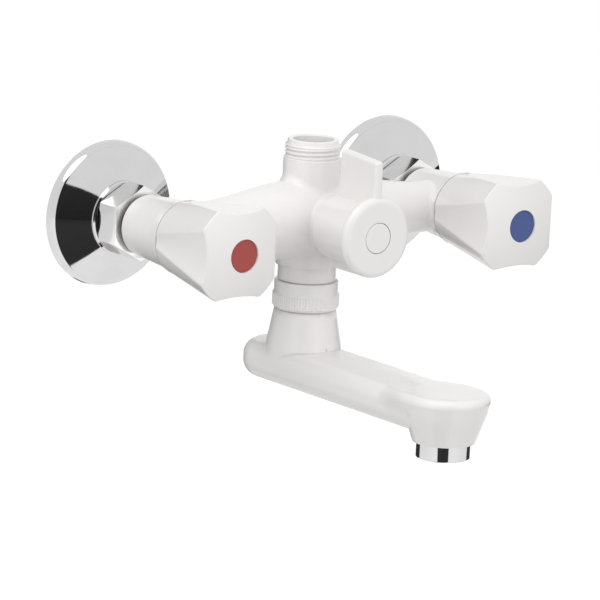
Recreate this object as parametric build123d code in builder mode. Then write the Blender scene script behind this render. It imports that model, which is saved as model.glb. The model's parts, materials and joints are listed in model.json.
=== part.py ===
"""Wall-mounted bath mixer tap with two handles, a shower outlet, a diverter and a swivel spout.

Millimetres, +Z up, +X towards the cold side, and the user stands on the -Y side. The origin
lies on the finished wall, level with the tap's own axis and midway between the two supplies.
Every "reach" below is a distance from the finished wall towards the user, along -Y.
"""
import os
from math import cos, radians, sin, sqrt

from build123d import *

os.makedirs("parts", exist_ok=True)

# Clearances between pieces
running_clearance = 0.05
sliding_clearance = 0.05
bearing_play = 0.15
skirt_gap = 0.4
lever_gap = 0.4
collar_gap = 0.3

# Pipe threads, as smooth radii
half_inch_radius = 10.48
three_quarter_radius = 13.22

# Supplies and the offset wall unions
inlet_spacing = 150.0
union_offset = 10.0
wall_thread_length = 16.0
union_wall_stub = 1.5
union_bend_length = 7.5
union_bore_radius = 8.0
union_wall_bore_radius = 7.0

# Escutcheons
escutcheon_radius = 31.8
escutcheon_face_radius = 30.2
escutcheon_rim_height = 4.35
escutcheon_rim_rounding = 1.5
escutcheon_height = 13.5
escutcheon_collar_radius = 16.4
escutcheon_collar_height = 1.6
escutcheon_collar_bevel = 0.7
escutcheon_foot_sweep = 7.0
escutcheon_foot_lift = 1.2
escutcheon_throat_sweep = 2.0
escutcheon_throat_drop = 2.5
escutcheon_sheet = 1.2
escutcheon_fit = 0.1

# Union nuts and the inlet tails that they hold
nut_across_flats = 28.5
nut_length = 13.0
nut_lip = 1.9
nut_corner_drop = 0.8
tail_flange = 2.5
tail_flange_radius = 12.0
tail_neck_radius = 9.6
tail_bore_radius = 7.2
tail_thread_length = 7.6
lip_clearance = 0.4
washer_thickness = 2.0
nut_to_body = 1.6

# Valve housings of the body
seat_web = 2.4
seat_hole_radius = 6.0
housing_depth = 19.1
housing_back_radius = 13.2
housing_front_radius = 16.2
housing_waist_radius = 14.8
housing_flare_length = 8.0
housing_edge_rounding = 1.4

# Cross arms, centre block, boss and outlets of the body
column_forward = 2.3
arm_centre_radius = 17.9
arm_end_radius = 11.2
arm_flare_length = 64.5
arm_bore_radius = 5.0
arm_blend = 3.0
boss_radius = 12.5
boss_stand = 2.45
boss_blend = 1.5
spool_chamber_radius = 8.5
spool_chamber_depth = 11.25
port_radius = 6.0
outlet_neck_radius = 12.5
outlet_neck_top = 26.5
outlet_blend = 4.5
outlet_thread_radius = 12.1
outlet_thread_length = 6.6
outlet_rim_radius = 11.1
outlet_rim_height = 1.7
outlet_bevel = 0.8
outlet_bore_radius = 8.75
outlet_bore_depth = 22.0
block_radius = 13.9
block_bottom = -20.0
block_blend = 2.5
neck_radius = 12.7
neck_bottom = -26.6
stub_thread_radius = 11.4
stub_length = 7.0
spigot_bore_top = -18.0

# Headworks: gasket, bonnet, discs, spindle
gasket_thickness = 0.8
bonnet_flange = 2.0
bonnet_flange_radius = 12.9
bonnet_thread_length = 7.2
bonnet_hex_flats = 17.0
bonnet_hex_length = 6.0
bonnet_neck_radius = 6.5
bonnet_neck_length = 6.0
cage_radius = 9.3
cage_wall = 1.2
cage_window_width = 9.0
seat_seal_thickness = 2.0
seat_seal_hole_radius = 5.5
disc_thickness = 3.0
disc_film = 0.02
disc_port_radius = 5.6
spindle_foot_length = 3.0
spindle_foot_gap = 0.5
claw_width = 3.0
claw_depth = 1.5
claw_length = 1.5
spindle_radius = 4.5
ring_cord = 0.9
ring_pitch = 3.5
drive_flats = 7.0
drive_length = 12.0
drive_tip_gap = 0.4
drive_fit = 0.05
clip_thickness = 0.8
clip_radius = 6.2
clip_groove_depth = 0.6
clip_slit = 3.0
screw_radius = 2.0
screw_depth = 8.0
screw_head_radius = 3.5
screw_head_height = 2.5
screw_slot = 1.0
screw_hole_clearance = 0.2

# Handles: a round skirt that opens into a domed square with four hollowed sides
handle_back_radius = 16.1
handle_corner_radius = 22.5
handle_length = 37.1
handle_dome = 4.4
handle_scoop_back = 2.8
handle_scoop_front = 11.7
handle_hollow_back = 0.3
handle_hollow_front = 1.5
handle_corner_flat = 0.25
handle_edge_rounding = 0.7
handle_crease = 2.0
handle_overrun = 1.0
handle_cavity_back = 13.6
handle_cavity_front = 15.2
handle_boss_radius = 8.8
handle_web = 2.5
handle_rib = 1.4
cap_radius = 7.05
cap_fit = 0.07
cap_recess = 1.2
cap_height = 6.0
cap_wall = 1.2
cap_lip = 1.2
cap_rounding = 0.3

# Diverter
diverter_thread_radius = 9.5
diverter_thread_length = 9.0
diverter_flange = 1.6
diverter_flange_radius = 11.0
diverter_neck_radius = 6.5
diverter_neck_length = 6.0
spool_length = 20.5
spool_end_disc = 2.0
spool_shell = 2.2
spool_shell_angle = 110.0
spool_hub_radius = 4.2
spool_tang_flats = 5.0
spool_tang_length = 8.0
diverter_shoulder_radius = 7.5
hub_radius = 14.0
hub_cavity_radius = 11.6
hub_length = 19.6
diverter_drive_length = 9.0
disc_radius = 17.5
disc_flare = 4.9
disc_front_rounding = 2.8
knob_cap_groove = 0.3
knob_cap_radius = 6.8
knob_cap_height = 5.7
fin_thickness = 4.4
fin_back = 1.0
fin_front = 1.8
fin_top_back = 34.5
fin_top_front = 32.8
fin_rounding = 1.6

# Spout, its nut and its bearing
spout_nut_gap = 0.5
spout_nut_top_radius = 13.9
spout_nut_bead_radius = 14.5
spout_nut_foot_radius = 13.4
spout_nut_length = 12.3
spout_nut_band = 5.2
spout_nut_chamfer = 1.3
spout_nut_lip = 2.7
spout_nut_hole_radius = 9.5
spigot_radius = 8.65
spigot_collar_radius = 9.2
spigot_bore_radius = 6.0
spigot_groove_depth = 1.3
spigot_ring_depth = 3.2
spigot_ring_pitch = 6.0
spigot_top_gap = 1.0
retaining_ring_radius = 10.9
retaining_groove_depth = 1.0
retaining_ring_slit = 2.0
spout_length = 98.75
spout_neck_gap = 0.6
spout_neck_top_radius = 13.5
spout_neck_foot_radius = 16.4
spout_top = -56.0
spout_bottom = -73.2
spout_half_width = 16.6
spout_crown_radius = 70.0
spout_heel = 29.3
spout_heel_corner = 13.0
spout_top_rounding = 6.5
spout_bottom_rounding = 7.8
head_rounding = 5.0
head_radius = 19.0
head_rim_radius = 13.3
head_rim_height = -77.1
spout_wall = 3.0
spout_channel_width = 18.0
spout_channel_height = 9.0

# Aerator in the spout's head
aerator_radius = 11.5
aerator_thread_radius = 11.0
aerator_thread_length = 8.0
aerator_skirt = 6.9
aerator_wall = 1.3
aerator_seat = 1.2
aerator_washer_thickness = 2.0
aerator_washer_hole = 7.0
aerator_rounding = 0.5
aerator_plate = 1.5
aerator_holes = 12
aerator_hole_ring = 6.0
aerator_hole_radius = 0.9
mesh_thickness = 0.8
mesh_hole = 1.7
mesh_pitch = 2.5
mesh_rows = 5

# Places that follow from the sizes above
hot_x = -inlet_spacing / 2
cold_x = inlet_spacing / 2
nut_back = escutcheon_height + collar_gap
nut_front = nut_back + nut_length
tail_flange_front = nut_front - nut_lip
tail_flange_back = tail_flange_front - tail_flange
union_front = tail_flange_back - washer_thickness
union_bend_front = union_wall_stub + union_bend_length
housing_back = nut_front + nut_to_body
seat_back = housing_back + tail_thread_length
seat_front = seat_back + seat_web
housing_front = seat_front + housing_depth
column_reach = (housing_back + housing_front) / 2 + column_forward
boss_reach = column_reach + arm_centre_radius + boss_stand
spool_chamber_reach = column_reach - spool_chamber_depth
spout_reach = column_reach + spout_length
bonnet_back = seat_front + seat_seal_thickness
bonnet_flange_back = housing_front + gasket_thickness
bonnet_thread_back = housing_front - bonnet_thread_length
bonnet_hex_back = bonnet_flange_back + bonnet_flange
bonnet_hex_front = bonnet_hex_back + bonnet_hex_length
bonnet_front = bonnet_hex_front + bonnet_neck_length
moving_disc_back = bonnet_back + disc_thickness + disc_film
foot_back = moving_disc_back + disc_thickness
foot_front = foot_back + spindle_foot_length
cage_shoulder = foot_front + spindle_foot_gap
clip_back = bonnet_front + bearing_play
handle_back = housing_front + skirt_gap
handle_edge = handle_back + handle_length
handle_front = handle_edge + handle_dome
cap_front = handle_front - cap_recess
pocket_floor = cap_front - cap_height
socket_front = pocket_floor - handle_web
spindle_tip = socket_front - drive_tip_gap
socket_back = spindle_tip - drive_length
diverter_flange_front = boss_reach + diverter_flange
diverter_front = diverter_flange_front + diverter_neck_length
diverter_thread_back = boss_reach - diverter_thread_length
hub_back = boss_reach + lever_gap
disc_back = hub_back + hub_length
disc_edge = disc_back + disc_flare
knob_front = disc_edge + disc_front_rounding
knob_floor = knob_front - knob_cap_height
knob_socket_front = knob_floor - handle_web
diverter_tip = knob_socket_front - drive_tip_gap
knob_socket_back = diverter_tip - diverter_drive_length
spool_radius = spool_chamber_radius - running_clearance
spool_back = spool_chamber_reach + bearing_play
spool_front = spool_back + spool_length
outlet_thread_top = outlet_neck_top + outlet_thread_length
outlet_top = outlet_thread_top + outlet_rim_height
stub_bottom = neck_bottom - stub_length
spout_nut_top = neck_bottom - spout_nut_gap
spout_nut_bottom = spout_nut_top - spout_nut_length
lip_top = spout_nut_bottom + spout_nut_lip
ring_top = stub_bottom - bearing_play
ring_bottom = lip_top + bearing_play
spout_neck_top = spout_nut_bottom - spout_neck_gap
spigot_top = spigot_bore_top - spigot_top_gap
spindle_ring_reaches = (bonnet_thread_back + ring_pitch, bonnet_thread_back + 2 * ring_pitch)
diverter_ring_reaches = (diverter_thread_back + ring_pitch, diverter_thread_back + 2 * ring_pitch)
spigot_ring_heights = (
    spigot_top - spigot_ring_depth,
    spigot_top - spigot_ring_depth - spigot_ring_pitch,
)
aerator_top = head_rim_height + aerator_thread_length
aerator_seat_top = aerator_top + aerator_washer_thickness
aerator_bottom = head_rim_height - aerator_skirt


def facing(x, reach, z=0.0):
    """Plane at a distance from the wall that looks at the user: right is +X and up is +Z."""
    return Plane(origin=(x, -reach, z), x_dir=(1, 0, 0), z_dir=(0, -1, 0))


def turning(x, z=0.0):
    """Plane for a profile turned about a forward axis: (radius, distance from the wall)."""
    return Plane(origin=(x, 0, z), x_dir=(1, 0, 0), z_dir=(0, 0, -1))


def forward_axis(x, z=0.0):
    return Axis((x, 0, z), (0, -1, 0))


column_plane = Plane(origin=(0, -column_reach, 0), x_dir=(1, 0, 0), z_dir=(0, -1, 0))
column_axis = Axis((0, -column_reach, 0), (0, 0, 1))
head_plane = Plane(origin=(0, -spout_reach, 0), x_dir=(1, 0, 0), z_dir=(0, -1, 0))
head_axis = Axis((0, -spout_reach, 0), (0, 0, 1))
arm_axis = Axis((0, -column_reach, 0), (1, 0, 0))


def level(height):
    """Level plane on the column's axis."""
    return Plane(origin=(0, -column_reach, height), x_dir=(1, 0, 0), z_dir=(0, 0, 1))


def keep(piece, name):
    piece.part.label = name
    export_step(piece.part, f"parts/{name}.step")


def flat_ring(name, x, back, front, outer, inner):
    """A flat ring about a forward axis."""
    with BuildPart() as ring:
        with BuildSketch(facing(x, back)):
            Circle(outer)
            Circle(inner, mode=Mode.SUBTRACT)
        extrude(amount=front - back)
    keep(ring, name)


def s_union(side, x):
    """Offset adaptor: thinner thread into the wall, wider thread into the union nut."""
    with BuildPart() as union:
        with BuildSketch(facing(x, -wall_thread_length, -union_offset)):
            Circle(half_inch_radius)
        extrude(amount=wall_thread_length + union_wall_stub)
        with BuildSketch(facing(x, union_wall_stub, -union_offset)):
            Circle(half_inch_radius)
        with BuildSketch(facing(x, union_bend_front)):
            Circle(three_quarter_radius)
        loft()
        with BuildSketch(facing(x, union_bend_front)):
            Circle(three_quarter_radius)
        extrude(amount=union_front - union_bend_front)
        with BuildSketch(facing(x, -wall_thread_length, -union_offset)):
            Circle(union_wall_bore_radius)
        extrude(amount=wall_thread_length + union_wall_stub, mode=Mode.SUBTRACT)
        with BuildSketch(facing(x, union_wall_stub, -union_offset)):
            Circle(union_wall_bore_radius)
        with BuildSketch(facing(x, union_bend_front)):
            Circle(union_bore_radius)
        loft(mode=Mode.SUBTRACT)
        with BuildSketch(facing(x, union_bend_front)):
            Circle(union_bore_radius)
        extrude(amount=union_front - union_bend_front, mode=Mode.SUBTRACT)
    keep(union, f"{side}_s_union")


def escutcheon(side, x):
    """Thin spun cover: rounded rim, hollow trumpet face and a raised collar."""
    hole = three_quarter_radius + escutcheon_fit
    collar_base = escutcheon_height - escutcheon_collar_height
    inner_rim = escutcheon_radius - escutcheon_sheet
    inner_face = escutcheon_face_radius - escutcheon_sheet
    inner_rim_height = escutcheon_rim_height - escutcheon_sheet
    foot_radius = escutcheon_collar_radius + escutcheon_foot_sweep
    throat_radius = escutcheon_collar_radius + escutcheon_throat_sweep
    with BuildPart() as cover:
        with BuildSketch(turning(x)):
            with BuildLine():
                rim = Polyline(
                    (inner_rim, 0),
                    (escutcheon_radius, 0),
                    (escutcheon_face_radius + escutcheon_rim_rounding / 3, escutcheon_rim_height
                     - escutcheon_rim_rounding),
                )
                corner = TangentArc(
                    rim @ 1,
                    (escutcheon_face_radius - escutcheon_rim_rounding, escutcheon_rim_height),
                    tangent=rim % 1,
                )
                face = Bezier(
                    corner @ 1,
                    (foot_radius, escutcheon_rim_height + escutcheon_foot_lift),
                    (throat_radius, collar_base - escutcheon_throat_drop),
                    (escutcheon_collar_radius, collar_base),
                )
                collar = Polyline(
                    face @ 1,
                    (escutcheon_collar_radius, escutcheon_height - escutcheon_collar_bevel),
                    (escutcheon_collar_radius - escutcheon_collar_bevel, escutcheon_height),
                    (hole, escutcheon_height),
                    (hole, collar_base - escutcheon_sheet),
                )
                under = Bezier(
                    collar @ 1,
                    (
                        throat_radius - escutcheon_sheet,
                        collar_base - escutcheon_throat_drop - escutcheon_sheet,
                    ),
                    (foot_radius - escutcheon_sheet, inner_rim_height + escutcheon_foot_lift),
                    (inner_face - escutcheon_rim_rounding, inner_rim_height),
                )
                Line(under @ 1, (inner_rim, 0))
            make_face()
        revolve(axis=forward_axis(x))
    keep(cover, f"{side}_escutcheon")


def union_nut(side, x):
    """Hexagon nut whose inner lip pulls the tail's flange against the union."""
    corner_radius = nut_across_flats / sqrt(3)
    land = nut_across_flats / 2
    with BuildPart() as nut:
        with BuildSketch(facing(x, nut_back)):
            RegularPolygon(land, 6, major_radius=False, rotation=30)
        extrude(amount=nut_length)
        with BuildSketch(turning(x)):
            with BuildLine():
                Polyline(
                    (0, nut_back),
                    (land, nut_back),
                    (corner_radius, nut_back + nut_corner_drop),
                    (corner_radius, nut_front - nut_corner_drop),
                    (land, nut_front),
                    (0, nut_front),
                    close=True,
                )
            make_face()
        revolve(axis=forward_axis(x), mode=Mode.INTERSECT)
        with BuildSketch(facing(x, nut_back)):
            Circle(three_quarter_radius)
        extrude(amount=tail_flange_front - nut_back, mode=Mode.SUBTRACT)
        with BuildSketch(facing(x, tail_flange_front)):
            Circle(tail_neck_radius + lip_clearance)
        extrude(amount=nut_lip, mode=Mode.SUBTRACT)
    keep(nut, f"{side}_union_nut")


def inlet_tail(side, x):
    """Flanged sleeve screwed into the back of the valve housing."""
    with BuildPart() as tail:
        with BuildSketch(turning(x)):
            with BuildLine():
                Polyline(
                    (tail_bore_radius, tail_flange_back),
                    (tail_flange_radius, tail_flange_back),
                    (tail_flange_radius, tail_flange_front),
                    (tail_neck_radius, tail_flange_front),
                    (tail_neck_radius, housing_back),
                    (half_inch_radius, housing_back),
                    (half_inch_radius, seat_back),
                    (tail_bore_radius, seat_back),
                    close=True,
                )
            make_face()
        revolve(axis=forward_axis(x))
    keep(tail, f"{side}_inlet_tail")


def mixer_body():
    """One white moulding: two valve housings, cross arms, block, boss and both outlets."""
    housing_end = inlet_spacing / 2
    halfway = (arm_flare_length / 2, (arm_centre_radius + arm_end_radius) / 2)
    with BuildPart() as body:
        with BuildSketch(level(0)):
            with BuildLine():
                flare = Spline(
                    (-arm_flare_length, arm_end_radius),
                    (-halfway[0], halfway[1]),
                    (0, arm_centre_radius),
                    halfway,
                    (arm_flare_length, arm_end_radius),
                    tangents=((1, 0), (1, 0)),
                )
                Polyline(
                    flare @ 1,
                    (housing_end, arm_end_radius),
                    (housing_end, 0),
                    (-housing_end, 0),
                    (-housing_end, arm_end_radius),
                    flare @ 0,
                )
            make_face()
        revolve(axis=arm_axis)

        # Lower block and shower outlet neck, each blended into the arms
        with BuildSketch(level(block_bottom)):
            Circle(block_radius)
        extrude(amount=-block_bottom)
        fillet(body.edges(Select.NEW), block_blend)
        with BuildSketch(level(0)):
            Circle(outlet_neck_radius)
        extrude(amount=outlet_neck_top)
        fillet(body.edges(Select.NEW), outlet_blend)

        # Diverter boss
        with BuildSketch(facing(0, column_reach)):
            Circle(boss_radius)
        extrude(amount=boss_reach - column_reach)
        fillet(body.edges(Select.NEW), boss_blend)

        # Valve housings
        for x in (hot_x, cold_x):
            with BuildSketch(turning(x)):
                with BuildLine():
                    back = Polyline(
                        (0, housing_front),
                        (0, housing_back),
                        (housing_back_radius - housing_edge_rounding, housing_back),
                    )
                    edge = TangentArc(
                        back @ 1,
                        (housing_back_radius, housing_back + housing_edge_rounding),
                        tangent=(1, 0),
                    )
                    side = Line(
                        edge @ 1, (housing_waist_radius, housing_front - housing_flare_length)
                    )
                    mouth = TangentArc(
                        side @ 1, (housing_front_radius, housing_front), tangent=side % 1
                    )
                    Line(mouth @ 1, (0, housing_front))
                make_face()
            revolve(axis=forward_axis(x))
            fillet(body.edges(Select.NEW), arm_blend)

        # Spout neck below the block, and the stub that the spout's nut screws on
        with BuildSketch(level(neck_bottom)):
            Circle(neck_radius)
        extrude(amount=block_bottom - neck_bottom)
        with BuildSketch(level(stub_bottom)):
            Circle(stub_thread_radius)
        extrude(amount=stub_length)

        # Shower outlet: threaded length and a plain bevelled rim
        with BuildSketch(column_plane):
            with BuildLine():
                Polyline(
                    (0, outlet_neck_top),
                    (outlet_thread_radius, outlet_neck_top),
                    (outlet_thread_radius, outlet_thread_top - outlet_bevel),
                    (outlet_rim_radius, outlet_thread_top),
                    (outlet_rim_radius, outlet_top - outlet_bevel / 2),
                    (outlet_rim_radius - outlet_bevel / 2, outlet_top),
                    (0, outlet_top),
                    close=True,
                )
            make_face()
        revolve(axis=column_axis)

        # Waterways: arms, spool chamber, ports, outlet bore and spigot bore
        with BuildSketch(Plane(origin=(hot_x, -column_reach, 0), z_dir=(1, 0, 0))):
            Circle(arm_bore_radius)
        extrude(amount=inlet_spacing, mode=Mode.SUBTRACT)
        with BuildSketch(facing(0, spool_chamber_reach)):
            Circle(spool_chamber_radius)
        extrude(amount=diverter_thread_back - spool_chamber_reach, mode=Mode.SUBTRACT)
        with BuildSketch(facing(0, diverter_thread_back)):
            Circle(diverter_thread_radius)
        extrude(amount=diverter_thread_length, mode=Mode.SUBTRACT)
        with BuildSketch(level(stub_bottom)):
            Circle(port_radius)
        extrude(amount=outlet_top - stub_bottom, mode=Mode.SUBTRACT)
        with BuildSketch(level(outlet_top - outlet_bore_depth)):
            Circle(outlet_bore_radius)
        extrude(amount=outlet_bore_depth, mode=Mode.SUBTRACT)
        with BuildSketch(level(stub_bottom)):
            Circle(spigot_radius + sliding_clearance)
        extrude(amount=spigot_bore_top - stub_bottom, mode=Mode.SUBTRACT)

        # Waterways and threaded chambers of the two valves
        for x in (hot_x, cold_x):
            with BuildSketch(facing(x, housing_back)):
                Circle(half_inch_radius)
            extrude(amount=tail_thread_length, mode=Mode.SUBTRACT)
            with BuildSketch(facing(x, seat_back)):
                Circle(seat_hole_radius)
            extrude(amount=seat_web, mode=Mode.SUBTRACT)
            with BuildSketch(facing(x, seat_front)):
                Circle(half_inch_radius)
            extrude(amount=housing_depth, mode=Mode.SUBTRACT)
    keep(body, "mixer_body")


def valve_bonnet(side, x):
    """Brass headwork body: windowed cage for the discs, thread, flange, hexagon and neck."""
    stem_bore = spindle_radius + running_clearance
    cage_bore = cage_radius - cage_wall
    with BuildPart() as bonnet:
        with BuildSketch(turning(x)):
            with BuildLine():
                Polyline(
                    (0, bonnet_back),
                    (cage_radius, bonnet_back),
                    (cage_radius, bonnet_thread_back),
                    (half_inch_radius, bonnet_thread_back),
                    (half_inch_radius, bonnet_flange_back),
                    (bonnet_flange_radius, bonnet_flange_back),
                    (bonnet_flange_radius, bonnet_hex_back),
                    (bonnet_neck_radius, bonnet_hex_back),
                    (bonnet_neck_radius, bonnet_front),
                    (0, bonnet_front),
                    close=True,
                )
            make_face()
        revolve(axis=forward_axis(x))
        with BuildSketch(facing(x, bonnet_hex_back)):
            RegularPolygon(bonnet_hex_flats / 2, 6, major_radius=False)
        extrude(amount=bonnet_hex_length)
        with BuildSketch(facing(x, bonnet_back)):
            Circle(cage_bore)
        extrude(amount=cage_shoulder - bonnet_back, mode=Mode.SUBTRACT)
        with BuildSketch(facing(x, cage_shoulder)):
            Circle(stem_bore)
        extrude(amount=bonnet_front - cage_shoulder, mode=Mode.SUBTRACT)
        # The two windows let water out sideways past the moving disc
        with BuildSketch(facing(x, moving_disc_back)):
            Rectangle(3 * cage_radius, cage_window_width)
        extrude(amount=disc_thickness, mode=Mode.SUBTRACT)
    keep(bonnet, f"{side}_valve_bonnet")


def seat_seal(side, x):
    """Rubber ring squeezed between the body's seat and the cage."""
    flat_ring(f"{side}_seat_seal", x, seat_front, bonnet_back, cage_radius, seat_seal_hole_radius)


def fixed_disc(side, x):
    """Ceramic disc with a half-moon port, held at the back of the cage."""
    with BuildPart() as disc:
        with BuildSketch(facing(x, bonnet_back)):
            Circle(cage_radius - cage_wall)
            Circle(disc_port_radius, mode=Mode.SUBTRACT)
            Rectangle(2 * disc_port_radius, disc_port_radius, align=(Align.CENTER, Align.MIN))
        extrude(amount=disc_thickness)
    keep(disc, f"{side}_fixed_disc")


def moving_disc(side, x):
    """Ceramic disc with an open notch for the water and two rim notches for the spindle."""
    rim = cage_radius - cage_wall - running_clearance
    with BuildPart() as disc:
        with BuildSketch(facing(x, moving_disc_back)):
            Circle(rim)
            Rectangle(2 * disc_port_radius, rim, align=(Align.CENTER, Align.MIN),
                      mode=Mode.SUBTRACT)
            with Locations((rim, 0), (-rim, 0)):
                Rectangle(
                    2 * (claw_depth + 2 * running_clearance),
                    claw_width + 2 * running_clearance,
                    mode=Mode.SUBTRACT,
                )
        extrude(amount=disc_thickness)
    keep(disc, f"{side}_moving_disc")


def squared_section(plane, radius, flats):
    """Round section with four flats."""
    with BuildSketch(plane, mode=Mode.PRIVATE) as section:
        Circle(radius)
        Rectangle(flats, flats, mode=Mode.INTERSECT)
    return section.sketch


def valve_spindle(side, x):
    """Turned spindle: clawed foot on the disc, ring grooves, clip groove and squared end."""
    foot_radius = cage_radius - cage_wall - 2 * running_clearance
    groove_radius = spindle_radius - ring_cord
    with BuildPart() as spindle:
        with BuildSketch(facing(x, foot_back)):
            Circle(foot_radius)
        extrude(amount=spindle_foot_length)
        with BuildSketch(facing(x, foot_back - claw_length)):
            Circle(foot_radius)
            with Locations((foot_radius, 0), (-foot_radius, 0)):
                Rectangle(2 * claw_depth, claw_width, mode=Mode.INTERSECT)
        extrude(amount=claw_length)
        with BuildSketch(facing(x, foot_front)):
            Circle(spindle_radius)
        extrude(amount=socket_back - foot_front)
        stem = squared_section(facing(x, socket_back), spindle_radius, drive_flats)
        extrude(stem, amount=drive_length)
        for reach in spindle_ring_reaches:
            with BuildSketch(facing(x, reach - ring_cord)):
                Circle(spindle_radius)
                Circle(groove_radius, mode=Mode.SUBTRACT)
            extrude(amount=2 * ring_cord, mode=Mode.SUBTRACT)
        with BuildSketch(facing(x, clip_back)):
            Circle(spindle_radius)
            Circle(spindle_radius - clip_groove_depth, mode=Mode.SUBTRACT)
        extrude(amount=clip_thickness, mode=Mode.SUBTRACT)
        with BuildSketch(facing(x, spindle_tip - screw_depth)):
            Circle(screw_radius)
        extrude(amount=screw_depth, mode=Mode.SUBTRACT)
    keep(spindle, f"{side}_valve_spindle")


def ring_pair(name, x, reaches):
    """Two rubber rings in their stem grooves."""
    cord = ring_cord / 2
    with BuildPart() as rings:
        with BuildSketch(turning(x)):
            with Locations(*[(spindle_radius - cord, reach) for reach in reaches]):
                Circle(cord)
        revolve(axis=forward_axis(x))
    keep(rings, name)


def stem_clip(name, x, back):
    """Open spring ring snapped into the stem's groove in front of the bonnet."""
    with BuildPart() as clip:
        with BuildSketch(facing(x, back)):
            Circle(clip_radius)
            Circle(spindle_radius - clip_groove_depth, mode=Mode.SUBTRACT)
            Rectangle(clip_slit, clip_radius, align=(Align.CENTER, Align.MAX),
                      mode=Mode.SUBTRACT)
        extrude(amount=clip_thickness)
    keep(clip, name)


def head_screw(name, x, seat, tip):
    """Slotted screw whose head seats in the pocket behind the cap."""
    with BuildPart() as screw:
        with BuildSketch(facing(x, tip)):
            Circle(screw_radius)
        extrude(amount=seat - tip)
        with BuildSketch(facing(x, seat)):
            Circle(screw_head_radius)
        extrude(amount=screw_head_height)
        with BuildSketch(facing(x, seat + screw_head_height / 2)):
            Rectangle(2 * screw_head_radius, screw_slot)
        extrude(amount=screw_head_height, mode=Mode.SUBTRACT)
    keep(screw, name)


def snap_cap(name, x, floor, front, radius, lip_radius):
    """Cup-shaped cap standing on the pocket's floor, its front edge stepped in and softened."""
    with BuildPart() as cap:
        with BuildSketch(facing(x, floor)):
            Circle(radius)
        extrude(amount=front - floor - cap_lip)
        with BuildSketch(facing(x, front - cap_lip)):
            Circle(lip_radius)
        extrude(amount=cap_lip)
        fillet(cap.faces().sort_by(Axis.Y)[0].edges(), cap_rounding)
        with BuildSketch(facing(x, floor)):
            Circle(radius - cap_wall)
        extrude(amount=front - floor - cap_wall, mode=Mode.SUBTRACT)
    keep(cap, name)


def handle_section(x, opening):
    """Cross-section of the handle: opening is 0 at the skirt's back and 1 at the front edge."""
    reach = handle_back + opening * handle_length
    corner = handle_back_radius + opening * (handle_corner_radius - handle_back_radius)
    half = handle_scoop_back + opening * (handle_scoop_front - handle_scoop_back)
    hollow = handle_hollow_back + opening * (handle_hollow_front - handle_hollow_back)
    edge = sqrt(corner ** 2 - half ** 2)
    strip = corner - opening * handle_corner_flat
    with BuildSketch(facing(x, reach), mode=Mode.PRIVATE) as section:
        with BuildLine():
            for quarter in range(4):
                spin = radians(90 * quarter)

                def place(across, up):
                    return (
                        across * cos(spin) - up * sin(spin),
                        across * sin(spin) + up * cos(spin),
                    )

                ThreePointArc(place(edge, -half), place(edge - hollow, 0), place(edge, half))
                diagonal = strip * sqrt(0.5)
                ThreePointArc(place(edge, half), place(diagonal, diagonal), place(half, edge))
        make_face()
        fillet(section.vertices(), handle_crease)
    return section.sketch


def handle(side, x):
    """Moulded handle: its round skirt spreads into a domed square with four hollowed sides."""
    front_opening = (handle_front + handle_overrun - handle_back) / handle_length
    dome_reach = handle_corner_radius + handle_dome
    dome_foot = handle_front - handle_dome * (dome_reach / handle_corner_radius) ** 2
    with BuildPart() as grip:
        openings = (0.0, 0.25, 0.5, 0.75, front_opening)
        loft(sections=[handle_section(x, opening) for opening in openings])
        with BuildSketch(turning(x)):
            with BuildLine():
                dome = ThreePointArc(
                    (-dome_reach, dome_foot), (0, handle_front), (dome_reach, dome_foot)
                )
                Polyline(dome @ 1, (dome_reach, handle_back), (-dome_reach, handle_back), dome @ 0)
            make_face()
            Rectangle(dome_reach, handle_front, align=(Align.MIN, Align.MIN), mode=Mode.INTERSECT)
        revolve(axis=forward_axis(x), mode=Mode.INTERSECT)
        fillet(grip.faces().sort_by(Axis.Y)[0].edges(), handle_edge_rounding)

        # Hollow skirt round the central boss, with four stiffening ribs
        with BuildSketch(turning(x)):
            with BuildLine():
                Polyline(
                    (0, handle_back),
                    (handle_cavity_back, handle_back),
                    (handle_cavity_front, socket_front),
                    (handle_boss_radius, socket_front),
                    (handle_boss_radius, socket_back),
                    (0, socket_back),
                    close=True,
                )
            make_face()
        revolve(axis=forward_axis(x), mode=Mode.SUBTRACT)
        with BuildSketch(facing(x, socket_back)):
            for turn in (45, 135):
                Rectangle(2 * handle_cavity_back, handle_rib, rotation=turn)
        extrude(amount=drive_length)
        with BuildSketch(facing(x, socket_back)):
            Rectangle(drive_flats + 2 * drive_fit, drive_flats + 2 * drive_fit)
        extrude(amount=socket_front - socket_back, mode=Mode.SUBTRACT)
        with BuildSketch(facing(x, socket_front)):
            Circle(screw_radius + screw_hole_clearance)
        extrude(amount=handle_web, mode=Mode.SUBTRACT)
        with BuildSketch(facing(x, pocket_floor)):
            Circle(cap_radius + cap_fit)
        extrude(amount=handle_front - pocket_floor, mode=Mode.SUBTRACT)
    keep(grip, f"{side}_handle")


def diverter_bonnet():
    """Bush screwed into the boss, guiding the diverter's stem."""
    stem_bore = spindle_radius + running_clearance
    with BuildPart() as bonnet:
        with BuildSketch(turning(0)):
            with BuildLine():
                Polyline(
                    (stem_bore, diverter_thread_back),
                    (diverter_thread_radius, diverter_thread_back),
                    (diverter_thread_radius, boss_reach),
                    (diverter_flange_radius, boss_reach),
                    (diverter_flange_radius, diverter_flange_front),
                    (diverter_neck_radius, diverter_flange_front),
                    (diverter_neck_radius, diverter_front),
                    (stem_bore, diverter_front),
                    close=True,
                )
            make_face()
        revolve(axis=forward_axis(0))
    keep(bonnet, "diverter_bonnet")


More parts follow.
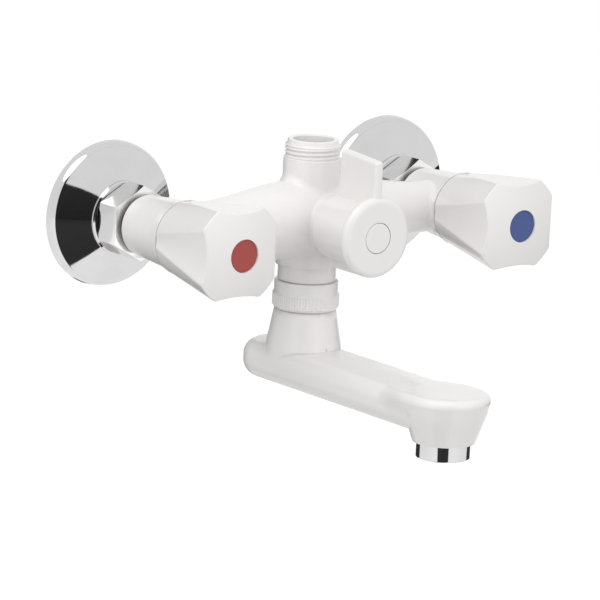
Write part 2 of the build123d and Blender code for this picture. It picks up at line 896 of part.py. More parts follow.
def diverter_spindle():
    """Stem with a shoulder in the chamber, a tang for the spool and a squared end."""
    groove_radius = spindle_radius - ring_cord
    with BuildPart() as spindle:
        with BuildSketch(facing(0, spool_front - spool_tang_length)):
            Rectangle(spool_tang_flats, spool_tang_flats)
        extrude(amount=spool_tang_length)
        with BuildSketch(facing(0, spool_front)):
            Circle(diverter_shoulder_radius)
        extrude(amount=diverter_thread_back - bearing_play - spool_front)
        with BuildSketch(facing(0, diverter_thread_back - bearing_play)):
            Circle(spindle_radius)
        extrude(amount=knob_socket_back - diverter_thread_back + bearing_play)
        stem = squared_section(facing(0, knob_socket_back), spindle_radius, drive_flats)
        extrude(stem, amount=diverter_drive_length)
        for reach in diverter_ring_reaches:
            with BuildSketch(facing(0, reach - ring_cord)):
                Circle(spindle_radius)
                Circle(groove_radius, mode=Mode.SUBTRACT)
            extrude(amount=2 * ring_cord, mode=Mode.SUBTRACT)
        with BuildSketch(facing(0, diverter_front + bearing_play)):
            Circle(spindle_radius)
            Circle(spindle_radius - clip_groove_depth, mode=Mode.SUBTRACT)
        extrude(amount=clip_thickness, mode=Mode.SUBTRACT)
        with BuildSketch(facing(0, diverter_tip - screw_depth)):
            Circle(screw_radius)
        extrude(amount=screw_depth, mode=Mode.SUBTRACT)
    keep(spindle, "diverter_spindle")


def diverter_spool():
    """Turning spool: a curved shell on a hub closes the lower port and leaves the upper free."""
    window_back = spool_back + spool_end_disc
    window_length = spool_length - 2 * spool_end_disc
    half_angle = radians(spool_shell_angle / 2)
    reach_out = 2 * spool_radius
    with BuildPart() as spool:
        for back in (spool_back, spool_front - spool_end_disc):
            with BuildSketch(facing(0, back)):
                Circle(spool_radius)
            extrude(amount=spool_end_disc)
        with BuildSketch(facing(0, window_back)):
            Circle(spool_radius)
            Circle(spool_radius - spool_shell, mode=Mode.SUBTRACT)
            Polygon(
                (0, 0),
                (-reach_out * sin(half_angle), -reach_out * cos(half_angle)),
                (reach_out * sin(half_angle), -reach_out * cos(half_angle)),
                align=None,
                mode=Mode.INTERSECT,
            )
            Circle(spool_hub_radius)
            Rectangle(spool_shell, spool_radius - spool_shell / 2, align=(Align.CENTER, Align.MAX))
        extrude(amount=window_length)
        with BuildSketch(facing(0, spool_front - spool_tang_length)):
            Rectangle(spool_tang_flats, spool_tang_flats)
        extrude(amount=spool_tang_length, mode=Mode.SUBTRACT)
    keep(spool, "diverter_spool")


def diverter_knob():
    """Round hub and rimmed disc with an upright lever fin and a short fin below."""
    fin_front_reach = disc_edge + fin_front
    with BuildPart() as knob:
        with BuildSketch(Plane.YZ.offset(-fin_thickness / 2)):
            with BuildLine():
                Polyline(
                    (-hub_back - fin_back, 0),
                    (-hub_back - fin_back, fin_top_back),
                    (-fin_front_reach, fin_top_front),
                    (-fin_front_reach, 0),
                    close=True,
                )
            make_face()
        extrude(amount=fin_thickness)
        fillet(knob.edges().filter_by(lambda edge: edge.center().Z > hub_radius), fin_rounding)
        with BuildSketch(Plane.YZ.offset(-fin_thickness / 2)):
            with BuildLine():
                Polyline(
                    (-hub_back, 0),
                    (-hub_back, -disc_radius),
                    (-disc_edge, -disc_radius),
                    (-disc_edge, 0),
                    close=True,
                )
            make_face()
        extrude(amount=fin_thickness)
        with BuildSketch(turning(0)):
            with BuildLine():
                hub = Polyline((0, knob_front), (0, hub_back), (hub_radius, hub_back),
                               (hub_radius, disc_back))
                flare = Bezier(
                    hub @ 1,
                    (hub_radius, disc_back + disc_flare / 2),
                    (disc_radius, disc_edge - disc_flare / 2),
                    (disc_radius, disc_edge),
                )
                front = TangentArc(
                    flare @ 1, (disc_radius - disc_front_rounding, knob_front), tangent=(0, 1)
                )
                Line(front @ 1, (0, knob_front))
            make_face()
        revolve(axis=forward_axis(0))
        with BuildSketch(facing(0, hub_back)):
            Circle(hub_cavity_radius)
        extrude(amount=knob_socket_back - hub_back, mode=Mode.SUBTRACT)
        with BuildSketch(facing(0, knob_socket_back)):
            Rectangle(drive_flats + 2 * drive_fit, drive_flats + 2 * drive_fit)
        extrude(amount=knob_socket_front - knob_socket_back, mode=Mode.SUBTRACT)
        with BuildSketch(facing(0, knob_socket_front)):
            Circle(screw_radius + screw_hole_clearance)
        extrude(amount=handle_web, mode=Mode.SUBTRACT)
        with BuildSketch(facing(0, knob_floor)):
            Circle(knob_cap_radius)
        extrude(amount=knob_cap_height, mode=Mode.SUBTRACT)
    keep(knob, "diverter_knob")


def spout_nut():
    """Round nut: plain upper band, wider gripping bead and an inner lip under the ring."""
    bead_top = spout_nut_top - spout_nut_band
    bead_step = spout_nut_bead_radius - spout_nut_top_radius
    with BuildPart() as nut:
        with BuildSketch(column_plane):
            with BuildLine():
                Polyline(
                    (stub_thread_radius, spout_nut_top),
                    (spout_nut_top_radius, spout_nut_top),
                    (spout_nut_top_radius, bead_top),
                    (spout_nut_bead_radius, bead_top - bead_step),
                    (spout_nut_bead_radius, spout_nut_bottom + spout_nut_chamfer),
                    (spout_nut_foot_radius, spout_nut_bottom),
                    (spout_nut_hole_radius, spout_nut_bottom),
                    (spout_nut_hole_radius, lip_top),
                    (stub_thread_radius, lip_top),
                    close=True,
                )
            make_face()
        revolve(axis=column_axis)
    keep(nut, "spout_nut")


def retaining_ring():
    """Split ring in the spigot's groove, carried by the nut's lip."""
    with BuildPart() as ring:
        with BuildSketch(level(ring_bottom)):
            Circle(retaining_ring_radius)
            Circle(spigot_radius - retaining_groove_depth, mode=Mode.SUBTRACT)
            Rectangle(retaining_ring_slit, retaining_ring_radius,
                      align=(Align.CENTER, Align.MAX), mode=Mode.SUBTRACT)
        extrude(amount=ring_top - ring_bottom)
    keep(ring, "spout_retaining_ring")


def spout_o_rings():
    """Two rubber rings on the spigot."""
    cord = spigot_groove_depth / 2
    with BuildPart() as rings:
        with BuildSketch(column_plane):
            with Locations(*[(spigot_radius - cord, height) for height in spigot_ring_heights]):
                Circle(cord)
        revolve(axis=column_axis)
    keep(rings, "spout_o_rings")


def spout():
    """Swivel spout: grooved spigot, tapered neck, level arm with a heel, and a tapered head."""
    channel_top = spout_top - spout_wall
    channel_bottom = channel_top - spout_channel_height
    heel_reach = column_reach - spout_heel
    with BuildPart() as arm:
        with BuildSketch(Plane.XY.offset(spout_bottom)):
            with Locations((0, -heel_reach)):
                heel = Rectangle(
                    2 * spout_half_width,
                    spout_reach - heel_reach,
                    align=(Align.CENTER, Align.MAX),
                )
            fillet(heel.vertices().group_by(Axis.Y)[-1], spout_heel_corner)
        extrude(amount=spout_top - spout_bottom)
        with BuildSketch(Plane.XZ):
            with Locations((0, spout_top - spout_crown_radius)):
                Circle(spout_crown_radius)
        extrude(amount=2 * spout_reach, both=True, mode=Mode.INTERSECT)
        # The square front end stays sharp, since it ends inside the head
        outer = arm.edges().filter_by(lambda edge: edge.center().Y > spout_half_width - spout_reach)
        fillet(outer.group_by(Axis.Z)[-1], spout_top_rounding)
        outer = arm.edges().filter_by(lambda edge: edge.center().Y > spout_half_width - spout_reach)
        fillet(outer.group_by(Axis.Z)[0], spout_bottom_rounding)
        with BuildSketch(head_plane):
            with BuildLine():
                top = Polyline(
                    (0, head_rim_height),
                    (0, spout_top),
                    (head_radius - head_rounding, spout_top),
                )
                shoulder = TangentArc(
                    top @ 1, (head_radius, spout_top - head_rounding), tangent=(1, 0)
                )
                Polyline(shoulder @ 1, (head_rim_radius, head_rim_height), (0, head_rim_height))
            make_face()
        revolve(axis=head_axis)
        with BuildSketch(column_plane):
            with BuildLine():
                Polyline(
                    (0, spout_top - spout_top_rounding),
                    (spout_neck_foot_radius, spout_top - spout_top_rounding),
                    (spout_neck_foot_radius, spout_top),
                    (spout_neck_top_radius, spout_neck_top),
                    (spigot_collar_radius, spout_neck_top),
                    (spigot_collar_radius, ring_bottom),
                    (spigot_radius - retaining_groove_depth, ring_bottom),
                    (spigot_radius - retaining_groove_depth, ring_top),
                    (spigot_radius, ring_top),
                    (spigot_radius, spigot_top),
                    (0, spigot_top),
                    close=True,
                )
            make_face()
        revolve(axis=column_axis)
        for height in spigot_ring_heights:
            with BuildSketch(level(height - spigot_groove_depth)):
                Circle(spigot_radius)
                Circle(spigot_radius - spigot_groove_depth, mode=Mode.SUBTRACT)
            extrude(amount=2 * spigot_groove_depth, mode=Mode.SUBTRACT)

        # Waterway down the neck, along the arm and out of the head
        with BuildSketch(level(channel_bottom)):
            Circle(spigot_bore_radius)
        extrude(amount=spigot_top - channel_bottom, mode=Mode.SUBTRACT)
        with BuildSketch(Plane.XY.offset(channel_bottom)):
            with Locations((0, -(column_reach + spout_reach) / 2)):
                SlotCenterToCenter(spout_reach - column_reach, spout_channel_width, rotation=90)
        extrude(amount=spout_channel_height, mode=Mode.SUBTRACT)
        with BuildSketch(head_level(head_rim_height)):
            Circle(aerator_thread_radius)
        extrude(amount=aerator_seat_top - head_rim_height, mode=Mode.SUBTRACT)
        with BuildSketch(head_level(aerator_seat_top)):
            Circle(aerator_washer_hole)
        extrude(amount=channel_top - aerator_seat_top, mode=Mode.SUBTRACT)
    keep(arm, "spout")


def head_level(height):
    """Level plane on the axis of the spout's head."""
    return Plane(origin=(0, -spout_reach, height), x_dir=(1, 0, 0), z_dir=(0, 0, 1))


def aerator_shell():
    """Chrome sleeve: threaded upper length and a wider visible skirt."""
    with BuildPart() as shell:
        with BuildSketch(head_level(aerator_bottom)):
            Circle(aerator_radius)
        extrude(amount=aerator_skirt)
        with BuildSketch(head_level(head_rim_height)):
            Circle(aerator_thread_radius)
        extrude(amount=aerator_thread_length)
        with BuildSketch(head_level(aerator_bottom)):
            Circle(aerator_radius - aerator_wall - aerator_seat)
        extrude(amount=aerator_seat, mode=Mode.SUBTRACT)
        with BuildSketch(head_level(aerator_bottom + aerator_seat)):
            Circle(aerator_radius - aerator_wall)
        extrude(amount=aerator_skirt + aerator_thread_length, mode=Mode.SUBTRACT)
        fillet(shell.edges().filter_by(GeomType.CIRCLE).sort_by(Axis.Z)[:1], aerator_rounding)
    keep(shell, "aerator_shell")


def aerator_cartridge():
    """Plastic insert with a ring of water holes, standing on the mesh."""
    bottom = aerator_bottom + aerator_seat + mesh_thickness
    radius = aerator_radius - aerator_wall
    with BuildPart() as cartridge:
        with BuildSketch(head_level(bottom)):
            Circle(radius)
            Circle(radius - aerator_wall, mode=Mode.SUBTRACT)
        extrude(amount=aerator_top - bottom)
        with BuildSketch(head_level(aerator_top - aerator_plate)):
            Circle(radius)
            with PolarLocations(aerator_hole_ring, aerator_holes):
                Circle(aerator_hole_radius, mode=Mode.SUBTRACT)
        extrude(amount=aerator_plate)
    keep(cartridge, "aerator_cartridge")


def aerator_mesh():
    """Round grid of square holes resting on the sleeve's inner lip."""
    radius = aerator_radius - aerator_wall
    with BuildPart() as mesh:
        with BuildSketch(head_level(aerator_bottom + aerator_seat)):
            Circle(radius)
            with GridLocations(mesh_pitch, mesh_pitch, mesh_rows, mesh_rows):
                Rectangle(mesh_hole, mesh_hole, mode=Mode.SUBTRACT)
        extrude(amount=mesh_thickness)
    keep(mesh, "aerator_mesh")


def aerator_washer():
    """Rubber washer between the sleeve and the seat in the head."""
    with BuildPart() as washer:
        with BuildSketch(head_level(aerator_top)):
            Circle(aerator_thread_radius)
            Circle(aerator_washer_hole, mode=Mode.SUBTRACT)
        extrude(amount=aerator_washer_thickness)
    keep(washer, "aerator_washer")


mixer_body()
for side, x in (("hot", hot_x), ("cold", cold_x)):
    s_union(side, x)
    escutcheon(side, x)
    union_nut(side, x)
    flat_ring(f"{side}_union_washer", x, union_front, tail_flange_back, tail_flange_radius,
              tail_bore_radius)
    inlet_tail(side, x)
    seat_seal(side, x)
    fixed_disc(side, x)
    moving_disc(side, x)
    valve_bonnet(side, x)
    flat_ring(f"{side}_bonnet_gasket", x, housing_front, bonnet_flange_back,
              bonnet_flange_radius, half_inch_radius)
    valve_spindle(side, x)
    ring_pair(f"{side}_spindle_o_rings", x, spindle_ring_reaches)
    stem_clip(f"{side}_spindle_clip", x, clip_back)
    handle(side, x)
    head_screw(f"{side}_handle_screw", x, pocket_floor, spindle_tip - screw_depth)
    snap_cap(f"{side}_index_cap", x, pocket_floor, cap_front, cap_radius, cap_radius)
diverter_bonnet()
diverter_spindle()
diverter_spool()
ring_pair("diverter_o_rings", 0, diverter_ring_reaches)
stem_clip("diverter_clip", 0, diverter_front + bearing_play)
diverter_knob()
head_screw("diverter_screw", 0, knob_floor, diverter_tip - screw_depth)
snap_cap("diverter_cap", 0, knob_floor, knob_front, knob_cap_radius,
         knob_cap_radius - knob_cap_groove)
spout_nut()
retaining_ring()
spout_o_rings()
spout()
aerator_shell()
aerator_cartridge()
aerator_mesh()
aerator_washer()
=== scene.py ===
"""Looks of the wall-mounted bath mixer tap: finishes, threads, ribs, covers, spout and studio."""
import json
from math import atan2, cos, pi, radians, sin, tan

import bmesh
import bpy
from bpy.props import FloatProperty, FloatVectorProperty, IntProperty, PointerProperty
from bpy.types import Operator, Panel, PropertyGroup
from mathutils import Matrix, Vector

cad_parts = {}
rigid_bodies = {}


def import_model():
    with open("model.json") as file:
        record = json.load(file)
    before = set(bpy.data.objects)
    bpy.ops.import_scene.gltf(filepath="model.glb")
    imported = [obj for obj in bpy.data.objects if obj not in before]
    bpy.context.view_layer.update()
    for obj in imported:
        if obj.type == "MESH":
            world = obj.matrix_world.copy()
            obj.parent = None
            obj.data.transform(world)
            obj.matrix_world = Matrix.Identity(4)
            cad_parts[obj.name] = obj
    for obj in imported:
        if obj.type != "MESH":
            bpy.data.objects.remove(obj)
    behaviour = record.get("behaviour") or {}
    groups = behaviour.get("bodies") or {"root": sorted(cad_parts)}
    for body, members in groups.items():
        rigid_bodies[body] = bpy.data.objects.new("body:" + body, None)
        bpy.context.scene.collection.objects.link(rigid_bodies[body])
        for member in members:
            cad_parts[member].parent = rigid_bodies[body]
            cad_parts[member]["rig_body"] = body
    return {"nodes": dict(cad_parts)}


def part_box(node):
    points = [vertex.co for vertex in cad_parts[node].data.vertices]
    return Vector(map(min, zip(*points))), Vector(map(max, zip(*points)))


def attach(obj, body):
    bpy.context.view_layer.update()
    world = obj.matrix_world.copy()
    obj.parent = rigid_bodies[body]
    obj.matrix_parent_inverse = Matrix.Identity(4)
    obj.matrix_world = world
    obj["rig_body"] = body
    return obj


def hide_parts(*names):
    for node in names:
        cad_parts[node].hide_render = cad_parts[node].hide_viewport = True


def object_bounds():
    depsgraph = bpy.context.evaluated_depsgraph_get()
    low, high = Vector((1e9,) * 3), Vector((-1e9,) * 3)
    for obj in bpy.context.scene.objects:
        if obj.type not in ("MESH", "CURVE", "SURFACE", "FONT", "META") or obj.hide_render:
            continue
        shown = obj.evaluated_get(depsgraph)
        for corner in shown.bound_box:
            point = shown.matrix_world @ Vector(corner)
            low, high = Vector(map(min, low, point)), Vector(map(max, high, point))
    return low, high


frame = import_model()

bl_info = {
    "name": "Bath mixer tap looks",
    "version": (1, 0, 0),
    "blender": (4, 5, 0),
    "location": "3D View > Sidebar > Mixer Tap",
    "description": "Finishes and fine detail for the wall-mounted bath mixer tap",
    "category": "Object",
}

CAD_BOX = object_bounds()
MM = 0.001
MERGE = 0.002 * MM
SNAP = MERGE / 4
UP = (0, 0, 1)


class TapSizes(PropertyGroup):
    """Sizes of the detail that the plain solids leave out."""

    thread_pitch: FloatProperty(
        name="Thread pitch", description="Pipe thread with 14 turns to the inch",
        default=1.814 * MM, unit="LENGTH")
    thread_depth: FloatProperty(
        name="Thread depth", description="From crest to root", default=1.0 * MM, unit="LENGTH")
    thread_rows: IntProperty(
        name="Rows per turn", description="Rows of faces along one turn of a thread", default=16)
    neck_top: FloatProperty(
        name="Neck top", description="Height at which the shower outlet's thread begins",
        default=26.5 * MM, unit="LENGTH")
    thread_top: FloatProperty(
        name="Thread top", description="Height at which the shower outlet's thread ends",
        default=33.1 * MM, unit="LENGTH")
    neck_radius: FloatProperty(
        name="Neck radius", description="Shower outlet's neck below its thread",
        default=12.5 * MM, unit="LENGTH")
    crest_radius: FloatProperty(
        name="Crest radius", description="Shower outlet's thread over its crests",
        default=12.1 * MM, unit="LENGTH")
    rim_radius: FloatProperty(
        name="Rim radius", description="Plain rim over the shower outlet's thread",
        default=11.1 * MM, unit="LENGTH")
    outlet_bore: FloatProperty(
        name="Outlet bore", description="Radius of the bore down the shower outlet",
        default=8.75 * MM, unit="LENGTH")
    wall_thread: FloatProperty(
        name="Wall thread radius", description="Union's thread in the wall, over its crests",
        default=10.48 * MM, unit="LENGTH")
    nut_thread: FloatProperty(
        name="Nut thread radius", description="Union's thread in its nut, over its crests",
        default=13.22 * MM, unit="LENGTH")
    cover_slope: FloatProperty(
        name="Cover slope", description="Slope of a wall cover's face just inside its rim",
        default=0.5)
    cover_rounding: FloatProperty(
        name="Cover rounding", description="Rounding of a wall cover's rim",
        default=2.4 * MM, unit="LENGTH")
    rib_count: IntProperty(
        name="Gripping ribs", description="Upright ribs round the spout's nut", default=72)
    rib_depth: FloatProperty(
        name="Rib depth", description="How deep the grooves between the ribs are",
        default=0.3 * MM, unit="LENGTH")
    smooth_angle: FloatProperty(
        name="Smooth angle", description="Edges sharper than this stay crisp",
        default=radians(32), subtype="ANGLE")


class TapFinishes(PropertyGroup):
    """Colours of the finishes."""

    white: FloatVectorProperty(
        name="White plastic", description="Gloss moulded body, handles and spout",
        default=(0.84, 0.82, 0.812), subtype="COLOR", min=0, max=1)
    red: FloatVectorProperty(
        name="Hot index", description="Cap of the hot handle",
        default=(0.36, 0.055, 0.045), subtype="COLOR", min=0, max=1)
    blue: FloatVectorProperty(
        name="Cold index", description="Cap of the cold handle",
        default=(0.05, 0.085, 0.26), subtype="COLOR", min=0, max=1)
    chrome: FloatVectorProperty(
        name="Chrome", description="Wall covers and aerator",
        default=(0.65, 0.645, 0.65), subtype="COLOR", min=0, max=1)
    nut_plate: FloatVectorProperty(
        name="Nut plate", description="Satin chrome of the union nuts",
        default=(0.85, 0.845, 0.84), subtype="COLOR", min=0, max=1)
    brass: FloatVectorProperty(
        name="Brass", description="Turned headworks and stems",
        default=(0.74, 0.52, 0.22), subtype="COLOR", min=0, max=1)
    plated: FloatVectorProperty(
        name="Plated brass", description="Unions and inlet tails",
        default=(0.66, 0.65, 0.61), subtype="COLOR", min=0, max=1)
    ceramic: FloatVectorProperty(
        name="Ceramic", description="Lapped valve discs",
        default=(0.80, 0.79, 0.76), subtype="COLOR", min=0, max=1)
    rubber: FloatVectorProperty(
        name="Rubber", description="Seals and washers",
        default=(0.025, 0.025, 0.027), subtype="COLOR", min=0, max=1)
    steel: FloatVectorProperty(
        name="Stainless steel", description="Screws, clips and mesh",
        default=(0.55, 0.55, 0.56), subtype="COLOR", min=0, max=1)
    grey: FloatVectorProperty(
        name="Grey acetal", description="Spool, ring and aerator insert",
        default=(0.45, 0.45, 0.46), subtype="COLOR", min=0, max=1)


class TapStudio(PropertyGroup):
    """Camera and studio."""

    azimuth: FloatProperty(
        name="Camera azimuth", description="Turned from straight on", default=radians(-37.95),
        subtype="ANGLE")
    elevation: FloatProperty(
        name="Camera elevation", description="Above the horizon", default=radians(12.2),
        subtype="ANGLE")
    roll: FloatProperty(
        name="Camera roll", description="Tilt of the picture", default=radians(2.81),
        subtype="ANGLE")
    distance: FloatProperty(
        name="Camera distance", description="From the tap's own origin", default=2.3058,
        unit="LENGTH")
    aside: FloatProperty(
        name="Camera aside", description="Shift to the right across the view", default=0.02332,
        unit="LENGTH")
    above: FloatProperty(
        name="Camera above", description="Shift up across the view", default=-0.04441,
        unit="LENGTH")
    focal_ratio: FloatProperty(
        name="Focal ratio", description="Focal length over the picture's width",
        default=5264.1 / 600)
    floor_drop: FloatProperty(
        name="Floor drop", description="Floor below the tap's lowest point", default=0.30,
        unit="LENGTH")
    key: FloatProperty(
        name="Key light", description="Power of the soft light overhead, in watts", default=3.0)
    fill_left: FloatProperty(
        name="Left light", description="Power of the light on the left, in watts", default=8.0)
    fill_right: FloatProperty(
        name="Front light", description="Power of the light in front, in watts", default=8.5)
    ambient: FloatProperty(
        name="Ambient", description="Strength of the even light all round", default=0.76)


class Value:
    """A socket that takes part in ordinary sums: each operation adds one Math node."""

    def __init__(self, nodes, socket):
        self.nodes = nodes
        self.socket = socket

    def sum_of(self, operation, first, second):
        return self.nodes.node("ShaderNodeMath", {"operation": operation}, {0: first, 1: second})

    def __add__(self, other):
        return self.sum_of("ADD", self, other)

    def __radd__(self, other):
        return self.sum_of("ADD", other, self)

    def __sub__(self, other):
        return self.sum_of("SUBTRACT", self, other)

    def __rsub__(self, other):
        return self.sum_of("SUBTRACT", other, self)

    def __mul__(self, other):
        return self.sum_of("MULTIPLY", self, other)

    def __rmul__(self, other):
        return self.sum_of("MULTIPLY", other, self)


class Nodes:
    """A node tree of a material or of the world."""

    def __init__(self, tree):
        self.tree = tree
        tree.nodes.clear()

    def node(self, kind, settings=None, inputs=None, output=0):
        """Add a node: its settings come first, then its sockets take values or links."""
        made = self.tree.nodes.new(kind)
        for name, value in (settings or {}).items():
            if name == "stops":
                ramp = made.color_ramp.elements
                while len(ramp) < len(value):
                    ramp.new(1.0)
                for element, (position, grey) in zip(ramp, value):
                    element.position = position
                    element.color = (grey, grey, grey, 1)
            else:
                setattr(made, name, value)
        for name, value in (inputs or {}).items():
            self.join(made.inputs[name], value)
        return Value(self, made.outputs[output]) if made.outputs else made

    def join(self, socket, value):
        if isinstance(value, Value):
            self.tree.links.new(value.socket, socket)
        else:
            socket.default_value = value

    def shown(self):
        """1 where the camera or a mirror looks straight at this, and 0 for the light it gives."""
        path = [self.node("ShaderNodeLightPath", output=f"Is {kind} Ray")
                for kind in ("Camera", "Glossy", "Transmission")]
        return path[0] + path[1] + path[2]


class Finish(Nodes):
    """A material whose surface is built up from nodes."""

    def __init__(self, name, **constants):
        self.material = bpy.data.materials.new(name)
        self.material.use_nodes = True
        super().__init__(self.material.node_tree)
        shader = self.node("ShaderNodeBsdfPrincipled")
        self.surface = shader.socket.node
        self.node("ShaderNodeOutputMaterial", {}, {"Surface": shader})
        for socket, value in constants.items():
            self.surface.inputs[socket.replace("_", " ")].default_value = value
        self.place = self.node("ShaderNodeTexCoord", output="Object")

    def feed(self, **sockets):
        """Join values to the surface's sockets, by their names."""
        for name, value in sockets.items():
            self.join(self.surface.inputs[name.replace("_", " ")], value)

    def noise(self, scale, detail=2.0, roughness=0.5, stretch=(1, 1, 1)):
        """Noise with features of about 1 / scale metres, pulled along the axes by stretch."""
        place = self.place
        if stretch != (1, 1, 1):
            place = self.node(
                "ShaderNodeMapping", {"vector_type": "POINT"},
                {"Vector": self.place, "Scale": stretch})
        return self.node(
            "ShaderNodeTexNoise", {},
            {"Vector": place, "Scale": scale, "Detail": detail, "Roughness": roughness})

    def blend(self, factor, first, second):
        """A mix of two colours."""
        return self.node(
            "ShaderNodeMix", {"data_type": "RGBA"},
            {0: factor, 6: (*first, 1), 7: (*second, 1)}, output=2)

    def ramp(self, value, low, high):
        """0 below the low value, 1 above the high one and a straight rise between them."""
        return self.node("ShaderNodeValToRGB", {"stops": ((low, 0.0), (high, 1.0))}, {0: value})

    def bump(self, height, distance, strength, under=None):
        """Relief of a depth in metres, over any relief under it."""
        inputs = {"Height": height, "Distance": distance, "Strength": strength}
        if under is not None:
            inputs["Normal"] = under
        return self.node("ShaderNodeBump", {}, inputs)


def shade(colour, factor):
    """The same colour, lighter or darker."""
    return tuple(min(1.0, channel * factor) for channel in colour)


def moulded_plastic(name, colour, gloss):
    """Injection-moulded plastic: faint flow clouds, a fine skin and a few handling smudges."""
    finish = Finish(name, IOR=1.49)
    clouds = finish.noise(38, detail=3, roughness=0.55)
    flow = finish.noise(120, stretch=(1, 0.35, 1))
    skin = finish.noise(1500, roughness=0.6)
    smudge = finish.ramp(finish.noise(26, detail=4, roughness=0.6), 0.48, 0.72)
    swell = finish.bump(finish.noise(170), 0.08 * MM, 0.35)
    finish.feed(
        Base_Color=finish.blend(
            clouds * 0.7 + flow * 0.3, shade(colour, 0.965), shade(colour, 1.02)),
        Roughness=gloss + 0.05 * smudge + 0.03 * skin,
        Normal=finish.bump(skin, 0.02 * MM, 0.35, swell),
    )
    return finish.material


def chrome_plate(name, colour, gloss):
    """Bright plate over turned brass: nearly a mirror, softly wavy, with faint wipe marks."""
    finish = Finish(name, Metallic=1.0)
    wave = finish.noise(55)
    wipe = finish.ramp(
        finish.noise(70, detail=5, roughness=0.65, stretch=(1, 0.4, 1.6)), 0.45, 0.75)
    grain = finish.noise(2600, roughness=0.6)
    finish.feed(
        Base_Color=finish.blend(wipe, colour, shade(colour, 0.95)),
        Roughness=gloss + 0.05 * wipe + 0.02 * grain,
        Normal=finish.bump(wave, 0.12 * MM, 0.25),
    )
    return finish.material


def turned_metal(name, colour, roughness):
    """Lathe-turned metal: fine rings square to the wall's normal and slight tarnish."""
    finish = Finish(name, Metallic=1.0)
    rings = finish.noise(1, detail=3, roughness=0.6, stretch=(12, 5200, 12))
    tarnish = finish.ramp(finish.noise(90, detail=4, roughness=0.6), 0.35, 0.75)
    finish.feed(
        Base_Color=finish.blend(tarnish, colour, shade(colour, 0.72)),
        Roughness=roughness + 0.12 * tarnish + 0.08 * rings,
        Normal=finish.bump(rings, 0.03 * MM, 0.5),
    )
    return finish.material


def lapped_ceramic(name, colour):
    """Lapped alumina: an even body with fine darker speckles."""
    finish = Finish(name, IOR=1.7)
    speckle = finish.ramp(finish.noise(2200, roughness=0.7), 0.55, 0.75)
    body = finish.noise(140, detail=3)
    finish.feed(
        Base_Color=finish.blend(speckle * 0.6 + body * 0.3, colour, shade(colour, 0.86)),
        Roughness=0.16 + 0.12 * speckle,
        Normal=finish.bump(speckle, 0.01 * MM, 0.4),
    )
    return finish.material


def seal_rubber(name, colour):
    """Matte rubber with a fine grain and a patchy grey bloom."""
    finish = Finish(name, IOR=1.5)
    grain = finish.noise(1700, detail=3, roughness=0.7)
    bloom = finish.ramp(finish.noise(160, detail=4, roughness=0.6), 0.4, 0.8)
    finish.feed(
        Base_Color=finish.blend(bloom, colour, shade(colour, 2.2)),
        Roughness=0.55 + 0.2 * bloom + 0.1 * grain,
        Normal=finish.bump(grain, 0.06 * MM, 0.6),
    )
    return finish.material


def show_with(name, material):
    """Give a CAD node its finish, with smooth curved faces and crisp edges."""
    piece = frame["nodes"][name]
    for slot in piece.material_slots:
        slot.material = material
    piece.data.polygons.foreach_set("use_smooth", [True] * len(piece.data.polygons))
    weld = piece.modifiers.new("Weld", "WELD")
    weld.merge_threshold = MERGE
    split = piece.modifiers.new("Crisp edges", "EDGE_SPLIT")
    split.split_angle = bpy.context.scene.tap_sizes.smooth_angle
    split.use_edge_sharp = False
    piece.modifiers.new("Even shading", "WEIGHTED_NORMAL")


def new_piece(name, bm, material, node):
    """Turn a finished bmesh into the piece that stands for a CAD node."""
    bmesh.ops.remove_doubles(bm, verts=bm.verts, dist=MERGE)
    bmesh.ops.recalc_face_normals(bm, faces=bm.faces)
    mesh = bpy.data.meshes.new(name)
    bm.to_mesh(mesh)
    bm.free()
    piece = bpy.data.objects.new(name, mesh)
    bpy.context.scene.collection.objects.link(piece)
    mesh.materials.append(material)
    mesh.polygons.foreach_set("use_smooth", [True] * len(mesh.polygons))
    mesh.set_sharp_from_angle(angle=bpy.context.scene.tap_sizes.smooth_angle)
    even = piece.modifiers.new("Even shading", "WEIGHTED_NORMAL")
    even.keep_sharp = True
    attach(piece, frame["nodes"][node]["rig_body"])
    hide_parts(node)


def across(axis):
    """An axis, the direction square to it from which turns are measured, and the third."""
    along = Vector(axis).normalized()
    out = Vector((1, 0, 0))
    return along, out, along.cross(out)


def turn(bm, outline, centre, axis, steps, closed=True, sector=None):
    """Spin an outline of (radius, height) points about an axis through the centre.

    A sector gives the angle at which a part turn starts and the angle it goes through."""
    along, out, _ = across(axis)
    start, sweep = sector or (0, 2 * pi)
    out = Matrix.Rotation(start, 3, along) @ out
    points = [bm.verts.new(centre + out * radius + along * height) for radius, height in outline]
    edges = [bm.edges.new(pair) for pair in zip(points, points[1:])]
    if closed:
        edges.append(bm.edges.new((points[-1], points[0])))
    bmesh.ops.spin(bm, geom=points + edges, cent=centre, axis=along, angle=sweep, steps=steps,
                   use_merge=sector is None)


def ring_edges(bm, centre, axis, radius, height):
    """Edges that lie on one circle."""
    along = across(axis)[0]
    height_slack, radius_slack = 10 * MERGE, 20 * MERGE

    def on_ring(vert):
        arm = vert.co - centre
        lift = arm.dot(along)
        reach = (arm - along * lift).length
        return abs(lift - height) < height_slack and abs(reach - radius) < radius_slack

    return [edge for edge in bm.edges if all(on_ring(vert) for vert in edge.verts)]


def rows(low, high, pitch, per_turn):
    """Heights of the rows of faces that a thread needs."""
    count = round((high - low) / pitch * per_turn)
    return [low + (high - low) * i / count for i in range(count + 1)]


